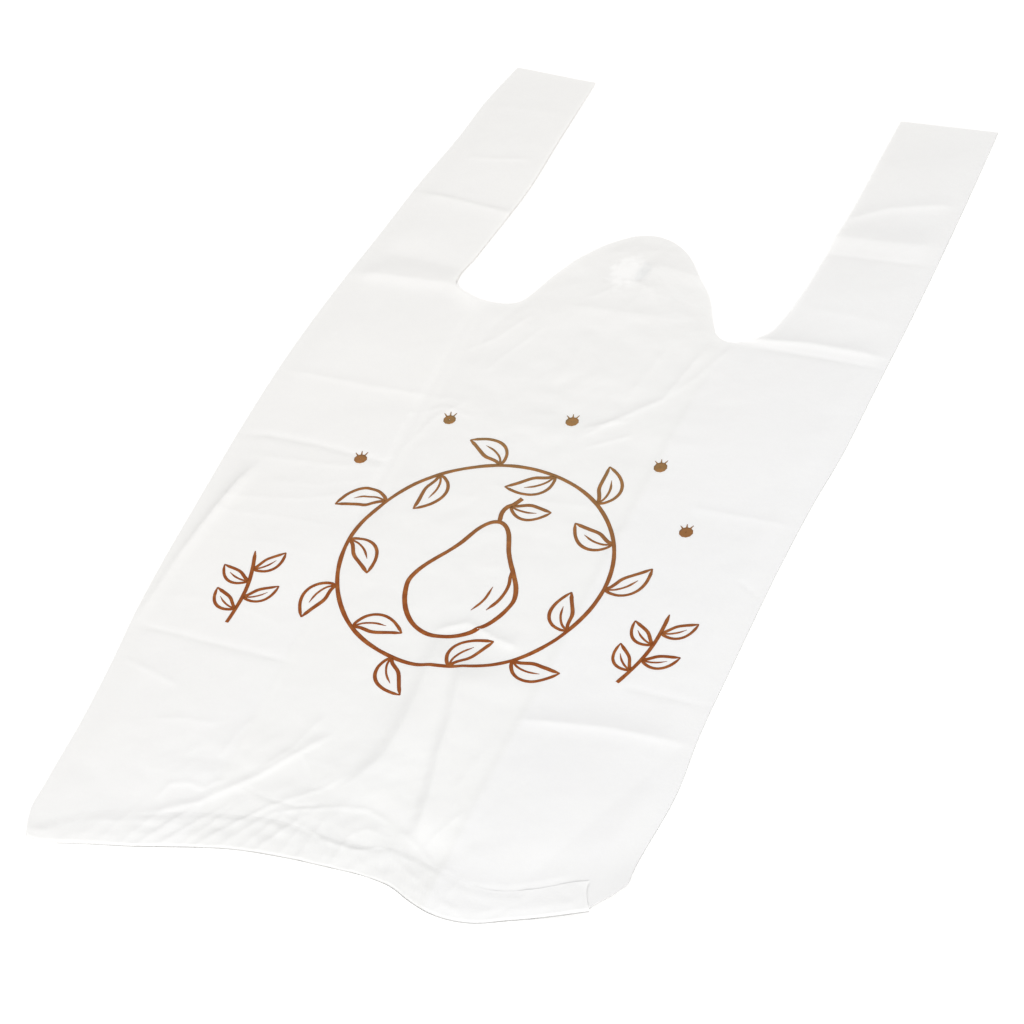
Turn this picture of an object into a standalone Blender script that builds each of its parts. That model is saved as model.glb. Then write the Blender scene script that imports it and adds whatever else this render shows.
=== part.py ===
"""A vest carrier bag of blown film, lying on its back with the printed side up.

The bag is one piece. A gusseted tube of film is laid flat, welded across both ends and punched
along the neckline, which leaves two handles with a tab between them. Its foot is folded up over
the front and sealed. Four layers of film lie over each other at the sides, where the gussets are
tucked in, and two layers down the middle.

The flat pattern is drawn first, in s across the bag and v up the bag. It is then stacked into
layers of film and layers of air, and last it is laid down as the used bag lies: handles leaning,
foot drawn up, one corner curling, packing creases across.
Lengths are in metres, +Z is up and +Y runs from the foot to the handles.
"""
import math

import bmesh
import bpy
from mathutils import Vector
from mathutils.bvhtree import BVHTree

MM = 0.001

# The flat bag
BAG_WIDTH = 292 * MM
BAG_LENGTH = 546 * MM
GUSSET_DEPTH = 80 * MM
HANDLE_WIDTH = 56 * MM
NECK_HEIGHT = 368 * MM
NOTCH_OUT = 66 * MM
NOTCH_IN = 61 * MM
NOTCH_FLARE = 70 * MM
NOTCH_SHOULDER = 20 * MM
NOTCH_TURN = 8 * MM
TAB_HEIGHT = 66 * MM
TAB_SHOULDER = 34 * MM
TAB_ROOT = 46 * MM

# The film, drawn thicker than the real one, and the air between its layers
FILM = 0.4 * MM
AIR = 0.3 * MM
HEM_FILM = 0.6 * MM
HEM_HEIGHT = 19 * MM
HEM_SHORT = 12 * MM
FOOT_SEAL = 5 * MM
HANDLE_WELD = 4 * MM
WELD_SQUEEZE = 0.7
FRONT_DROP = 9 * MM

# How finely the pattern is divided
GUSSET_STRIP = 13.5 * MM
MIDDLE_STRIP = 12 * MM
ROW = 13 * MM
FOOT_ROW = 8 * MM
FOOT_FINE = 42 * MM
NECK_STEPS = 7

# How the bag lies: shift of the left and the right edge, at a share of the bag's length
LIE = [
    (0.00, 9 * MM, -13 * MM),
    (0.04, 7 * MM, -6 * MM),
    (0.11, 6 * MM, -2 * MM),
    (0.22, -1 * MM, -4 * MM),
    (0.37, -5 * MM, -6 * MM),
    (0.48, -7 * MM, -5 * MM),
    (0.68, -3 * MM, -2 * MM),
    (0.83, 6 * MM, -1 * MM),
    (1.00, 19 * MM, -4 * MM),
]
# How far the foot is drawn up, at a share of the half width from the middle
FOOT_DRAW = [
    (-1.00, -4 * MM),
    (-0.90, -12 * MM),
    (-0.70, -8 * MM),
    (-0.35, 6 * MM),
    (0.00, 9 * MM),
    (0.25, 8 * MM),
    (0.52, -3 * MM),
    (0.72, 3 * MM),
    (1.00, 18 * MM),
]
FOOT_DRAW_REACH = 45 * MM
# The gathers that the drawn seam raises: place as a share of the half width, lean across per unit
# of height up the bag, height, half width
GATHERS = [
    (-0.86, 0.6, 1.2 * MM, 8 * MM),
    (-0.58, 0.9, 1.6 * MM, 8 * MM),
    (-0.38, 0.8, 1.5 * MM, 7 * MM),
    (-0.21, 0.5, 1.8 * MM, 7 * MM),
    (-0.04, 0.1, 1.4 * MM, 7 * MM),
    (0.12, -0.2, 1.9 * MM, 8 * MM),
    (0.31, -0.4, 1.3 * MM, 7 * MM),
    (0.47, -0.5, 1.2 * MM, 7 * MM),
    (0.74, 0.3, 1.4 * MM, 11 * MM),
]
GATHER_REACH = 46 * MM
# Where the left notch has been pulled open, how far, and over what reach
NOTCH_PULL_AT = (-0.562, 0.692)
NOTCH_PULL = 7 * MM
NOTCH_PULL_REACH = 15 * MM
CORNER_LIFT = 7 * MM
CORNER_REACH = 42 * MM

# Creases and ridges that stand up from the table: two ends as shares of the half width and of
# the length, height, half width of the crease
CREASES = {
    "handle_root": ((-1.05, 0.678), (1.05, 0.678), 2.2 * MM, 9 * MM),
    "upper_pack_fold": ((-1.05, 0.458), (-0.35, 0.463), 1.8 * MM, 9 * MM),
    "upper_pack_fold_right": ((0.55, 0.468), (1.05, 0.468), 1.0 * MM, 9 * MM),
    "lower_pack_fold": ((-1.05, 0.215), (-0.42, 0.215), 1.6 * MM, 9 * MM),
    "lower_pack_fold_right": ((0.55, 0.212), (1.05, 0.210), 1.6 * MM, 9 * MM),
    "left_handle_fold": ((-1.05, 0.808), (-0.50, 0.797), 1.8 * MM, 9 * MM),
    "right_handle_fold": ((0.55, 0.816), (1.05, 0.828), 2.4 * MM, 10 * MM),
    "left_edge_ridge": ((-0.90, 0.40), (-0.99, 0.20), 2.0 * MM, 8 * MM),
    "foot_ridge": ((0.18, 0.18), (0.24, 0.04), 3.2 * MM, 9 * MM),
    "foot_ridge_left": ((0.02, 0.16), (-0.20, 0.06), 2.2 * MM, 10 * MM),
    "foot_pucker_left": ((-0.78, 0.03), (-0.40, 0.10), 2.4 * MM, 10 * MM),
    "foot_pucker": ((-0.42, 0.035), (0.42, 0.030), 1.6 * MM, 12 * MM),
}

# The print: a ring of leaves round a pear, with sprigs and berries beside it
INK = 0.3 * MM
INK_GAP = 0.4 * MM
STROKE = 2.0 * MM
SHARPEST_BEND = 0.6
WREATH_RADIUS = 66 * MM
WREATH_LEAVES = 14
STEM_STEPS = 5
# A leaf: its lean off the stem in degrees, its length and its width
WREATH_LEAF = (44, 25 * MM, 11 * MM)
PEAR_LEAF = (60, 21 * MM, 9.5 * MM)
SPRIG_LEAF = (56, 18 * MM, 7.5 * MM)
LEAF_STEPS = 6
LEAF_BEND = 0.45
PEAR_HEIGHT = 76 * MM
PEAR_WIDTH = 56 * MM
PEAR_NECK = 0.5
PEAR_NECK_FROM = 0.35
PEAR_SEAT = 0.62
PEAR_STEPS = 32
PEAR_STALK = [(1 * MM, 6 * MM), (0, 10 * MM), (-2.4 * MM, 12.4 * MM), (-5 * MM, 17 * MM)]
PEAR_SHADE = [(0.30, -0.26), (0.35, -0.16), (0.31, -0.04)]
SPRIG_HEIGHT = 46 * MM
SPRIG_BOW = 3 * MM
SPRIG_STEPS = 18
SPRIG_LEAVES = ((3, 1), (6, -1), (10, 1), (13, -1))
BERRY = 3.4 * MM
BERRY_SIDES = 12
# Where each motif stands: shares of the half width and of the length of the bag, and its turn
PRINT_MIDDLE = (0.0, 0.359)
SPRIGS = {
    "print_sprig_left": (-0.712, 0.282, 8),
    "print_sprig_right": (0.671, 0.304, -10),
}
BERRIES = {
    "print_berry_1": (-0.575, 0.454),
    "print_berry_2": (-0.356, 0.520),
    "print_berry_3": (0.055, 0.544),
    "print_berry_4": (0.425, 0.509),
    "print_berry_5": (0.616, 0.440),
}

FILM_COLOUR = (0.90, 0.90, 0.89, 1.0)
INK_COLOUR = (0.33, 0.085, 0.018, 1.0)

HALF = BAG_WIDTH / 2
TUCK = HALF - GUSSET_DEPTH


def clamp(value, low=0.0, high=1.0):
    return max(low, min(high, value))


def ease(value):
    value = clamp(value)
    return value * value * (3 - 2 * value)


def through(points, at):
    """A smooth curve through a few points, each (place, value), level beyond its ends."""
    if at <= points[0][0]:
        return points[0][1]
    if at >= points[-1][0]:
        return points[-1][1]
    i = next(i for i in range(1, len(points)) if at <= points[i][0])

    def slope(k):
        low, high = points[max(k - 1, 0)], points[min(k + 1, len(points) - 1)]
        return (high[1] - low[1]) / (high[0] - low[0])

    (a, start), (b, end) = points[i - 1], points[i]
    span, t = b - a, (at - a) / (b - a)
    bend = (1 - t) * t * (slope(i - 1) * (1 - t) - slope(i) * t) * span
    return start + (end - start) * ease(t) + bend


def bezier(start, pull_start, pull_end, end, steps):
    """Points along a cubic curve, without its first one."""
    points = []
    for i in range(1, steps + 1):
        t = i / steps
        weights = ((1 - t) ** 3, 3 * t * (1 - t) ** 2, 3 * t * t * (1 - t), t ** 3)
        corners = (start, pull_start, pull_end, end)
        points.append(tuple(sum(w * c[k] for w, c in zip(weights, corners)) for k in (0, 1)))
    return points


def half_outline():
    """The right half of the cut bag, from the middle of its foot to the top of the tab."""
    inner = HALF - HANDLE_WIDTH
    tab_top = NECK_HEIGHT + TAB_HEIGHT
    flare_top = NECK_HEIGHT + NOTCH_FLARE
    points = [(0, 0), (HALF, 0), (HALF, BAG_LENGTH), (inner, BAG_LENGTH), (inner, flare_top)]
    points += bezier((inner, flare_top), (inner, NECK_HEIGHT + NOTCH_SHOULDER),
                     (inner - NOTCH_TURN, NECK_HEIGHT), (NOTCH_OUT, NECK_HEIGHT), NECK_STEPS)
    points.append((NOTCH_IN, NECK_HEIGHT))
    points += bezier((NOTCH_IN, NECK_HEIGHT), (TAB_ROOT, NECK_HEIGHT),
                     (TAB_SHOULDER, tab_top), (0, tab_top), NECK_STEPS)
    return points


def divided(places, step):
    """The places in order, with more put evenly between them so that no gap is over a step."""
    places = sorted(places)
    filled = [places[0]]
    for low, high in zip(places, places[1:]):
        count = math.ceil((high - low) / step - 0.05)
        filled += [low + (high - low) * i / count for i in range(1, count + 1)]
    return filled[1:-1]


def divide(sheet, faces, place, normal):
    """Cuts some faces of the sheet along a plane."""
    edges = {edge for face in faces for edge in face.edges}
    verts = {vert for face in faces for vert in face.verts}
    geometry = list(verts) + list(edges) + faces
    bmesh.ops.bisect_plane(sheet, geom=geometry, dist=1e-6, plane_co=place, plane_no=normal)


def is_across(start, end):
    """True for a crease that runs right across, so that a row of the pattern can follow it."""
    return abs(end[1] - start[1]) < 0.015


def flat_pattern():
    """The cut bag as one flat sheet of triangles, divided along its folds, welds and creases."""
    right = half_outline()
    left = [(-s, v) for s, v in reversed(right[1:-1])]
    sheet = bmesh.new()
    sheet.faces.new([sheet.verts.new((s, v, 0)) for s, v in right + left])

    across = [TUCK] + divided([0, TUCK - FRONT_DROP], MIDDLE_STRIP) + [TUCK - FRONT_DROP]
    across += divided([TUCK, TUCK + FILM, HALF - HEM_SHORT, HALF - FILM, HALF], GUSSET_STRIP)
    crests = [(start[1] + end[1]) / 2 for start, end, _, _ in CREASES.values() if is_across(start, end)]
    along = [0, FOOT_SEAL, HEM_HEIGHT, BAG_LENGTH - HANDLE_WELD, BAG_LENGTH]
    along = divided(along + [share * BAG_LENGTH for share in set(crests)], ROW)
    cuts = [((side * s, 0, 0), (1, 0, 0)) for s in across for side in (-1, 1)]
    cuts += [((0, 0, 0), (1, 0, 0))] + [((0, v, 0), (0, 1, 0)) for v in along]
    for place, normal in cuts:
        divide(sheet, sheet.faces[:], place, normal)
    columns = sorted({round(vert.co.x, 6) for vert in sheet.verts if abs(vert.co.y) < FOOT_ROW})
    for low, high in zip(columns, columns[1:]):
        if high - low > FOOT_ROW:
            at_foot = [face for face in sheet.faces if face.calc_center_median().y < FOOT_FINE]
            divide(sheet, at_foot, ((low + high) / 2, 0, 0), (1, 0, 0))
    bmesh.ops.triangulate(sheet, faces=sheet.faces[:])
    return sheet


def in_layer(layer, s, v):
    """True where a layer of the stack is film: even layers are film, odd ones are air."""
    side = abs(s)
    sealed = v < FOOT_SEAL or v > BAG_LENGTH - HANDLE_WELD
    if layer in (0, 6):
        return True
    if layer in (2, 4):
        return side > TUCK or sealed
    if layer in (1, 5):
        return side > HALF - FILM or sealed
    if layer == 3:
        return TUCK < side < TUCK + FILM or sealed
    if layer == 7:
        return v < FOOT_SEAL and s < HALF - HEM_SHORT
    return v < HEM_HEIGHT and s < HALF - HEM_SHORT


LAYERS = (FILM, AIR, FILM, AIR, FILM, AIR, FILM, AIR, HEM_FILM)


def level(number, s, v):
    """Height of the underside of a layer above the back of the bag."""
    full = sum(LAYERS[:number])
    front = sum(LAYERS[:6])
    drop = ease((TUCK - abs(s)) / FRONT_DROP) * (front - FILM - AIR)
    if 1 <= number <= 6:
        full = FILM + (full - FILM) * (front - drop - FILM) / (front - FILM)
    elif number > 6:
        full -= drop
    squeeze = ease((v - BAG_LENGTH + HANDLE_WELD) / HANDLE_WELD)
    return full * (1 - (1 - WELD_SQUEEZE) * squeeze)


def crease_height(x, y):
    """How far the creases and the curling corner lift the bag off the table."""
    height = 0
    for start, end, tall, wide in CREASES.values():
        a = Vector((start[0] * HALF, start[1] * BAG_LENGTH))
        b = Vector((end[0] * HALF, end[1] * BAG_LENGTH))
        run = b - a
        along = clamp((Vector((x, y)) - a).dot(run) / run.length_squared)
        away = (Vector((x, y)) - a - run * along).length
        height = max(height, tall * ease(1 - away / wide))
    for share, lean, tall, wide in GATHERS:
        away = abs(x - share * HALF - lean * y)
        height = max(height, tall * ease(1 - away / wide) * ease((GATHER_REACH - y) / GATHER_REACH * 1.6))
    corner = math.hypot(HALF - x, y)
    return max(height, CORNER_LIFT * ease(1 - corner / CORNER_REACH))


def lay(s, v):
    """Where a point of the flat pattern lies on the table, and how high the bag stands there."""
    share = v / BAG_LENGTH
    left = through([(at, shift) for at, shift, _ in LIE], share) - HALF
    right = through([(at, shift) for at, _, shift in LIE], share) + HALF
    x = left + (s + HALF) / BAG_WIDTH * (right - left)
    pulled = math.hypot(x - NOTCH_PULL_AT[0] * HALF, v - NOTCH_PULL_AT[1] * BAG_LENGTH)
    x -= NOTCH_PULL * ease(1 - pulled / NOTCH_PULL_REACH)
    y = v + through(FOOT_DRAW, s / HALF) * ease(1 - v / FOOT_DRAW_REACH)
    return x, y, crease_height(x, y)


def stack_film():
    """Stacks the flat pattern into layers and lays it down, as one closed body."""
    sheet = flat_pattern()
    body = bmesh.new()
    made = {}

    def corner(vert, number):
        key = (vert.index, number)
        if key not in made:
            s, v, _ = vert.co
            x, y, z = lay(s, v)
            made[key] = body.verts.new((x, y, z + level(number, s, v)))
        return made[key]

    sheet.verts.index_update()
    count = len(LAYERS)
    filled = {}
    for face in sheet.faces:
        if face.normal.z < 0:
            face.normal_flip()
        s, v, _ = face.calc_center_median()
        filled[face] = [in_layer(layer, s, v) for layer in range(count)]
    for face, here in filled.items():
        for number, (below, above) in enumerate(zip([False] + here, here + [False])):
            if below == above:
                continue
            ring = [corner(vert, number) for vert in face.verts]
            body.faces.new(reversed(ring) if above else ring)
        for loop in face.loops:
            beyond = [filled[f] for f in loop.edge.link_faces if f is not face]
            there = beyond[0] if beyond else [False] * count
            a, b = loop.vert, loop.link_loop_next.vert
            for layer in range(count):
                if here[layer] and not there[layer]:
                    over = layer + 1
                    body.faces.new([corner(a, layer), corner(b, layer), corner(b, over), corner(a, over)])
    sheet.free()
    return body


def material(name, colour, roughness):
    made = bpy.data.materials.new(name)
    made.use_nodes = True
    shader = made.node_tree.nodes["Principled BSDF"]
    shader.inputs["Base Color"].default_value = colour
    shader.inputs["Roughness"].default_value = roughness
    shader.inputs["Metallic"].default_value = 0.0
    made.diffuse_color = colour
    return made


def add_object(name, mesh, finish):
    made = bpy.data.objects.new(name, mesh)
    made.data.materials.append(finish)
    bpy.context.scene.collection.objects.link(made)
    return made


def add_bag():
    """The film itself, with the middle of its outline at the origin and its back on the table."""
    body = stack_film()
    xs = [vert.co.x for vert in body.verts]
    ys = [vert.co.y for vert in body.verts]
    middle = Vector(((min(xs) + max(xs)) / 2, (min(ys) + max(ys)) / 2, 0))
    bmesh.ops.translate(body, verts=body.verts, vec=-middle)
    mesh = bpy.data.meshes.new("bag_film")
    body.to_mesh(mesh)
    body.free()
    return add_object("bag_film", mesh, material("blown_film", FILM_COLOUR, 0.45)), middle


def on_bag(across, up):
    """A place on the bag, given as shares of its half width and of its length."""
    return across * HALF, up * BAG_LENGTH


def turned(points, angle, place):
    """Points turned by an angle in degrees and moved to a place."""
    c, s = math.cos(math.radians(angle)), math.sin(math.radians(angle))
    return [(place[0] + c * x - s * y, place[1] + s * x + c * y) for x, y in points]


def rails(points, closed):
    """The two edges of a pen stroke that runs along the points, as (left, right) pairs."""
    points = [Vector(point) for point in points]
    count = len(points)
    pairs = []
    for i, point in enumerate(points):
        back = point - points[i - 1] if closed or i else points[1] - point
        ahead = points[(i + 1) % count] - point if closed or i < count - 1 else back
        back.normalize()
        ahead.normalize()
        run = (back + ahead).normalized()
        lean = max(SHARPEST_BEND, run.dot(ahead))
        reach = Vector((-run.y, run.x)) * (STROKE / 2 / lean)
        pairs.append((point + reach, point - reach))
    return pairs


def pen_stroke(ink, points, closed=False, leaves=None, joins=None):
    """Draws a stroke as a solid band. It may grow out of one port of another and end in a second.

    A section of a stroke, and a port, is four corners: left and right below, right and left above.
    """
    sections = []
    for left, right in rails(points, closed):
        corners = [(left, 0), (right, 0), (right, INK), (left, INK)]
        sections.append([ink.verts.new((flat.x, flat.y, z)) for flat, z in corners])
    if leaves:
        sections.insert(0, leaves)
    if joins:
        left_low, right_low, right_high, left_high = joins
        sections.append([right_low, left_low, left_high, right_high])
    if not closed and not leaves:
        ink.faces.new(sections[0])
    if not closed and not joins:
        ink.faces.new(reversed(sections[-1]))
    ends = sections[1:] + sections[:1] if closed else sections[1:]
    for here, there in zip(sections, ends):
        for k in range(4):
            ink.faces.new([here[k - 1], there[k - 1], there[k], here[k]])
    return sections


def port(ink, sections, i, side):
    """Opens one side face of a stroke, left for side 1 and right for -1, for another to leave by."""
    here, there = sections[i], sections[(i + 1) % len(sections)]
    low, high = (0, 3) if side > 0 else (1, 2)
    ink.faces.remove(ink.faces.get([here[low], there[low], there[high], here[high]]))
    left, right = (here, there) if side > 0 else (there, here)
    return [left[low], right[low], right[high], left[high]]


def leaf_on(ink, sections, i, side, shape):
    """A leaf outline that leaves a stroke by the side face i and comes back by the next one.

    The leaf stands square to the stroke at its root and leans over towards its tip.
    """
    lean, length, width = shape
    root = (sections[i + 1][0].co + sections[i + 1][1].co).xy / 2
    run = (sections[i + 2][0].co - sections[i][0].co).xy
    grows = math.degrees(math.atan2(run.y, run.x))
    tip = Vector((math.cos(math.radians(lean)), math.sin(math.radians(lean)))) * length
    rise = Vector((0, LEAF_BEND * length))
    near, far = [], []
    for k in range(1, LEAF_STEPS):
        u = k / LEAF_STEPS
        spine = rise * 2 * u * (1 - u) + tip * u * u
        along = (rise * (1 - 2 * u) + tip * u).normalized()
        reach = Vector((along.y, -along.x)) * width / 2 * math.sin(math.pi * u ** 1.1)
        near.append(spine + reach)
        far.append(spine - reach)
    outline = [Vector((p.x, side * p.y)) for p in far + [tip] + near[::-1]]
    first, second = (i, i + 1) if side > 0 else (i + 1, i)
    if side < 0:
        outline.reverse()
    leaves, joins = port(ink, sections, first, side), port(ink, sections, second, side)
    pen_stroke(ink, turned(outline, grows, root), leaves=leaves, joins=joins)


def wreath(ink):
    """A round stem with leaves in turn outside and inside it."""
    pitch = math.tau / WREATH_LEAVES
    foot = STROKE / WREATH_RADIUS
    bare = [foot + (pitch - 2 * foot) * k / STEM_STEPS for k in range(1, STEM_STEPS)]
    turns = [pitch * i + step for i in range(WREATH_LEAVES) for step in [-foot, 0, foot] + bare]
    x, y = on_bag(*PRINT_MIDDLE)
    ring = [(x + WREATH_RADIUS * math.cos(turn), y + WREATH_RADIUS * math.sin(turn)) for turn in turns]
    stem = pen_stroke(ink, ring, closed=True)
    for i in range(WREATH_LEAVES):
        leaf_on(ink, stem, i * (STEM_STEPS + 2), 1 if i % 2 else -1, WREATH_LEAF)


def pear(ink):
    """A pear, full at the foot and narrow at the neck, with a stalk, one leaf and a stroke of shade."""
    across, up = on_bag(*PRINT_MIDDLE)
    outline = []
    for i in range(PEAR_STEPS):
        turn = math.tau * i / PEAR_STEPS
        rise = (1 - math.cos(turn)) / 2
        neck = 1 - PEAR_NECK * ease((rise - PEAR_NECK_FROM) * 2)
        x, y = PEAR_WIDTH / 2 * math.sin(turn) * neck, PEAR_HEIGHT * (rise - PEAR_SEAT)
        outline.append((across + x, up + y))
    skin = pen_stroke(ink, outline, closed=True)
    crown = PEAR_STEPS // 2
    top = outline[crown]
    stalk = [(top[0] - dx, top[1] + dy) for dx, dy in PEAR_STALK]
    wood = pen_stroke(ink, stalk, leaves=port(ink, skin, crown, -1))
    leaf_on(ink, wood, 1, -1, PEAR_LEAF)
    belly = PEAR_STEPS // 8
    shade = [(across + PEAR_WIDTH * a, up + PEAR_HEIGHT * b) for a, b in PEAR_SHADE]
    pen_stroke(ink, shade, leaves=port(ink, skin, belly, 1))


def sprig(ink, across, up, turn):
    """A short stem with leaves on either side."""
    rises = [SPRIG_HEIGHT * (k / SPRIG_STEPS - 0.5) for k in range(SPRIG_STEPS + 1)]
    stem = [(SPRIG_BOW * math.cos(math.pi * rise / SPRIG_HEIGHT), rise) for rise in rises]
    stroke = pen_stroke(ink, turned(stem, turn, on_bag(across, up)))
    for i, side in SPRIG_LEAVES:
        leaf_on(ink, stroke, i, side, SPRIG_LEAF)


def berry(ink, across, up):
    """A round berry, filled in."""
    sides = {"cap_ends": True, "segments": BERRY_SIDES, "depth": INK}
    bmesh.ops.create_cone(ink, radius1=BERRY, radius2=BERRY, **sides)
    bmesh.ops.translate(ink, verts=ink.verts, vec=(*on_bag(across, up), INK / 2))


def add_print(name, draw, finish, front, middle, *layout):
    """Draws one motif and lays it over the front of the bag."""
    ink = bmesh.new()
    draw(ink, *layout)
    bmesh.ops.translate(ink, verts=ink.verts, vec=-middle)
    for vert in ink.verts:
        film = front.ray_cast(Vector((vert.co.x, vert.co.y, 1)), Vector((0, 0, -1)))[0]
        vert.co.z += film.z + INK_GAP
    mesh = bpy.data.meshes.new(name)
    ink.to_mesh(mesh)
    ink.free()
    add_object(name, mesh, finish)


def main():
    for old in list(bpy.data.objects):
        bpy.data.objects.remove(old)
    bag, middle = add_bag()
    bpy.context.view_layer.update()
    front = BVHTree.FromObject(bag, bpy.context.evaluated_depsgraph_get())
    ink = material("printing_ink", INK_COLOUR, 0.5)
    add_print("print_wreath", wreath, ink, front, middle)
    add_print("print_pear", pear, ink, front, middle)
    for name, layout in SPRIGS.items():
        add_print(name, sprig, ink, front, middle, *layout)
    for name, layout in BERRIES.items():
        add_print(name, berry, ink, front, middle, *layout)


main()
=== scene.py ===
"""A vest carrier bag of blown film with a printed front, laid flat on a pale table.

The bag is a gusseted tube of film. Its front lies over two tucked-in gussets, each of two leaves,
and its back lies on the table. Every piece of film is drawn on one plan, x across the bag and y from
its foot to its handles, in millimetres, and is moved to the frame's origin as it is made.
"""

import math

import bmesh
import bpy
import numpy as np
from mathutils import Matrix, Vector, noise
from mathutils.bvhtree import BVHTree


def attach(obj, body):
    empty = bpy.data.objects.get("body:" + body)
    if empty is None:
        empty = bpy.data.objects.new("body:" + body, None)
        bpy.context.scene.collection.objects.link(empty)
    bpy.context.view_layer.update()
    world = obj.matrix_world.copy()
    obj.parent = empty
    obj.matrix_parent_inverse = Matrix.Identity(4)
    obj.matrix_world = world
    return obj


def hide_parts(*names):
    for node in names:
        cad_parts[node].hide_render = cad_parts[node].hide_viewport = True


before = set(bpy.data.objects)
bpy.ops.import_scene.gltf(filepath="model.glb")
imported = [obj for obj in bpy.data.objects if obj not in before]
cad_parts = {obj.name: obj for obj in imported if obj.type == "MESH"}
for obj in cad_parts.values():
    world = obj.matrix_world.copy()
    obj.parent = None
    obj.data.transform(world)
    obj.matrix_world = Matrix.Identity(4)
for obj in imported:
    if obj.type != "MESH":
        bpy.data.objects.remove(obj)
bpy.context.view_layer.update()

MM = 0.001
# The place on the plan that lies at the frame's origin
PLAN_MIDDLE = (-3.97, 266.9)

# The flat bag, as it is cut
BAG_LENGTH = 546.0
NECK = 368.0
GUSSET_DEPTH = 80.0
MIDDLE_WIDTH = 132.0
TAB_HEIGHT = 66.0
HANDLE_WELD = 4.0

# How the outline of the used bag lies: left and right edge at a height on the pattern
LEFT_EDGE = [(0, -134), (7, -138.5), (20, -139.5), (60, -141), (96, -144), (122, -147), (150, -149),
             (203, -151), (260, -152.5), (304, -152), (351, -149), (398, -144), (447, -139),
             (481, -134), (515, -131), (546, -125.5)]
RIGHT_EDGE = [(0, 131), (8, 138), (18, 141.5), (50, 142), (90, 144), (122, 141.5), (172, 140.5),
              (237, 140), (275, 141), (305, 143), (350, 143.5), (430, 144), (495, 143), (546, 141.5)]
# The inner folds of the gussets, and above the neck the inner cut of the handles
LEFT_INNER = [(0, -60), (100, -63), (250, -67), (340, -71), (368, -72)]
LEFT_CUT = [(368, -72), (370.5, -81), (375, -88), (380, -89.3), (396, -87), (412, -85), (428, -83),
            (446, -81), (493, -80), (546, -79)]
RIGHT_INNER = [(0, 61), (200, 60), (300, 60.5), (350, 64), (368, 66)]
RIGHT_CUT = [(368, 66), (370, 72), (373, 76), (391, 83.5), (406, 86), (437, 88), (460, 89), (546, 90)]
SIDES = {-1: (LEFT_INNER, LEFT_CUT, LEFT_EDGE), 1: (RIGHT_INNER, RIGHT_CUT, RIGHT_EDGE)}
# The cut edge of the tab, and how far the seam at the foot is drawn up
TAB_EDGE = [(-63, 368), (-56, 369), (-50, 373.5), (-46.5, 381), (-43, 391), (-34, 408.5), (-26, 419.5),
            (-17, 428), (-5, 433), (4, 432.5), (13, 428.5), (22, 421), (32, 408), (42, 395.5),
            (48, 383.5), (52, 375), (57, 370), (63, 368)]
FOOT_EDGE = [(-140, -5), (-134, -11.5), (-128, -13), (-120, -12), (-103, -8), (-84, -4), (-57, 3),
             (-39, 7), (-19, 9), (10, 9.5), (30, 9), (41, 7), (52, 2), (64, -2), (74, -3), (84, -2),
             (100, 4), (116, 10), (132, 16), (142, 20)]
# How far up the bag the drawn seam is felt, and the same for the slanting tips of the handles
FOOT_REACH = 48.0
TIP_RISE = [(-126, -3.0), (-79, -6.0), (90, -1.0), (142, 1.5)]
TIP_REACH = 60.0

# Layers of film: from one to the next, from the table to the back, and between the gusset leaves
# where they close up at the edge, as a share of the whole stack
LAYER_PITCH = 0.20
TABLE_GAP = 0.06
EDGE_GAP = 0.03
# The way over which the front comes down from four layers to two, beside a gusset's inner fold
FRONT_DROP = 4.5
# Where the gusset leaves begin to close up, and over how much of their width
CLOSING = (0.90, 0.08)
# How the front is held down: over what distance it comes free, and how much of its lift it keeps
RIM_HOLD = (16, 0.2)
SEAM_HOLD = (44, 0.35)
WELD_HOLD = (34, 0.15)
# How high the front stands where nothing lifts it, and below which it settles on what is under it
REST_LIFT = 0.5
LEAST_LIFT = 0.4
# The curled corner of the foot
CORNER = (146, 14)
CORNER_LIFT = 3.8
CORNER_REACH = 50.0

# How far the hem is folded up, at places across
HEM_TOP = [(-140, 6), (-132, 9), (-120, 13.5), (-105, 17), (-85, 18), (-60, 20.5), (-40, 22),
           (-25, 22.5), (-8, 19), (10, 16.5), (22, 17.5), (32, 20), (62, 20.5), (78, 18), (92, 16.5),
           (105, 17.5), (118, 22), (127, 24.5)]
HEM_START = -140.5
HEM_END = 126.5
HEM_SLANT = 6.0
HEM_STEP = 1.0
# Its rows as shares of its height: close together where it turns, then even
HEM_ROWS = [-0.03, 0.0, 0.025, 0.05] + list(np.linspace(0.11, 1, 15))
HEM_LEAF_GAP = 0.02
# Where it is crinkled most: the middle of that, half its length, and the way over which it ends
HEM_CRINKLED = (-4, 74, 20)
# The way over which the film turns up at the fold, at its left end and beyond it, and where the one
# begins to give way to the other and over what length
HEM_TURN_LEFT = 1.5
HEM_TURN = 0.8
HEM_LEFT_END = (-125, 60)
# Its seal along the cut edge, how firm that is, and where it stops short of the open right end
HEM_SEAL = 5.0
HEM_SEALED = 0.9
HEM_SEALED_TO = 104.0
HEM_OPENS_OVER = 30.0
# How far its lower leaf stands off the front, what the upper leaf, the crinkles and the crumple add,
# and the facets of that crumple: size across, size up, seed
HEM_OFF = 0.08
HEM_UPPER_OFF = 0.12
HEM_CRINKLE = 0.4
HEM_CRUMPLE = 0.6
HEM_FACETS = (6, 4.5, 21)

# Spacing of the mesh
FRONT_STEP = (1.2, 1.25)
BACK_STEP = (4.0, 4.0)
GUSSET_STEP = 3.0
# Points closer than this are one
MERGE = 0.004


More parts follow.
